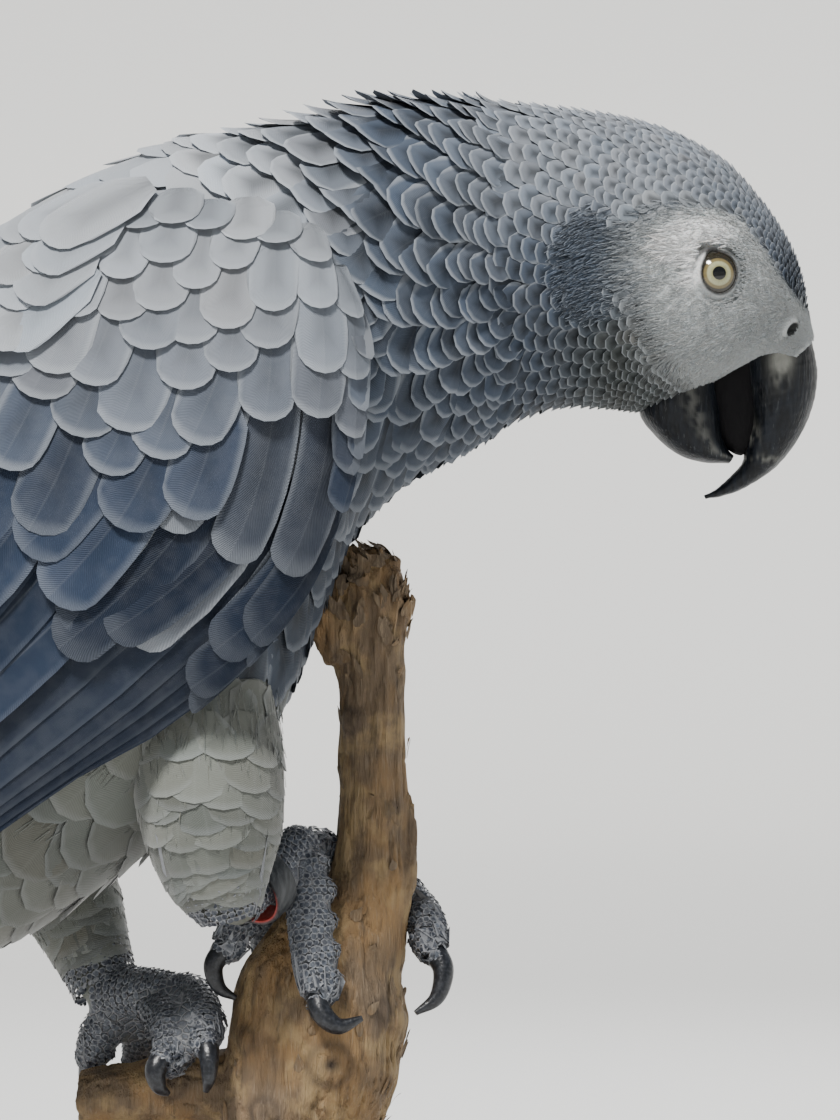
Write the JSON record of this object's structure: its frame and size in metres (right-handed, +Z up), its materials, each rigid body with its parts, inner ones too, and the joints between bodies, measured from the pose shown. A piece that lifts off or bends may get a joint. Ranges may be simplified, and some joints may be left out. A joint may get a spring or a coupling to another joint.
{
  "type": "african grey parrot model",
  "caption": "Still life-size grey parrot leaning forward with bent head, gripping a short cut branch on a plain round display stand.",
  "frame": {"origin": "centre of the flat underside of the stand's round base", "axes": "+Z up, +X towards the bird's bill, -Y towards its right side"},
  "size_m": [0.2584, 0.156, 0.272],
  "materials": {
    "feather_grey": "matte",
    "feather_pale": "matte",
    "feather_red": "matte",
    "bill_black": "satin",
    "eye_pale": "gloss",
    "scale_grey": "matte",
    "claw_black": "gloss",
    "ring_metal": "satin",
    "branch_wood": "matte",
    "stand_wood": "satin",
    "stand_steel": "satin"
  },
  "bodies": {
    "root": {"trunk": "feather_grey", "neck": "feather_grey", "head": "feather_grey", "wing_right": "feather_grey", "wing_left": "feather_grey", "tail": "feather_red", "thigh_right": "feather_pale", "thigh_left": "feather_pale", "eye_right": "eye_pale", "eye_left": "eye_pale", "bill_upper": "bill_black", "bill_lower": "bill_black", "tarsus_right": "scale_grey", "tarsus_left": "scale_grey", "leg_ring": "ring_metal", "toe_right_inner": "scale_grey", "claw_right_inner": "claw_black", "toe_right_outer": "scale_grey", "claw_right_outer": "claw_black", "toe_right_hind": "scale_grey", "claw_right_hind": "claw_black", "toe_right_far": "scale_grey", "claw_right_far": "claw_black", "toe_left_inner": "scale_grey", "claw_left_inner": "claw_black", "toe_left_outer": "scale_grey", "claw_left_outer": "claw_black", "toe_left_hind": "scale_grey", "claw_left_hind": "claw_black", "toe_left_far": "scale_grey", "claw_left_far": "claw_black", "perch_trunk": "branch_wood", "perch_stem": "branch_wood", "perch_stub": "branch_wood", "stand_base": "stand_wood", "stand_rod": "stand_steel"}
  },
  "joints": []
}
